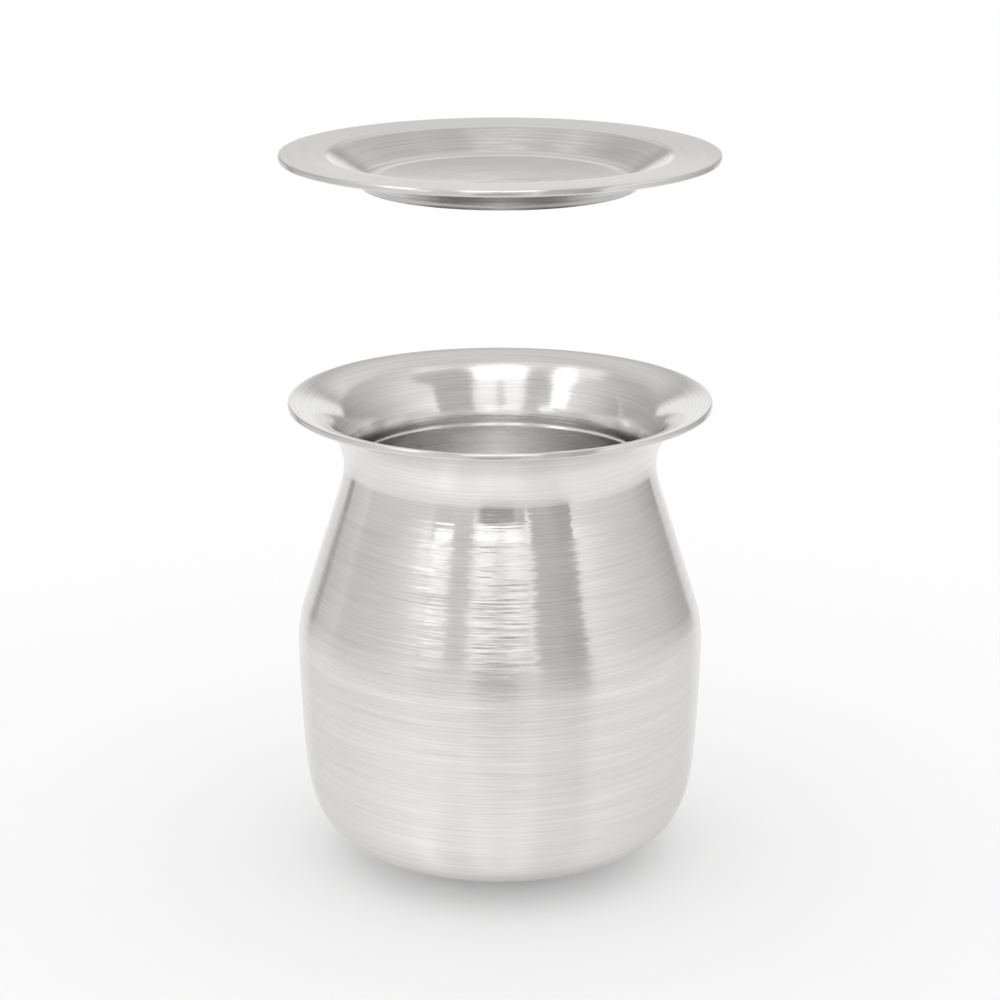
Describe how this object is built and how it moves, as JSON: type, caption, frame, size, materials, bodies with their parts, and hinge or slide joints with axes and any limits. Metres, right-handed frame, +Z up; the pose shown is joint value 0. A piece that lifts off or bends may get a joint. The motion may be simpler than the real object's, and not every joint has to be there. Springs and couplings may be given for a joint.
{
  "type": "lota",
  "caption": "Small spun-metal lota with a rounded body, a narrow neck, a wide flared rim and a loose dished lid.",
  "frame": {"origin": "centre of the flat that the pot stands on", "axes": "+Z up along the common axis of the pot and the lid; X and Y are alike, as both pieces are round"},
  "size_m": [0.053, 0.053, 0.0892],
  "materials": {
    "satin_metal": "satin, spun and brushed round the axis"
  },
  "bodies": {
    "pot": {"pot": "satin_metal"},
    "lid": {"lid": "satin_metal"}
  },
  "joints": [
    {"name": "lid_lift", "type": "slide", "parent": "pot", "child": "lid", "axis": [0, 0, 1], "range_m": [-0.0294, 0]}
  ]
}
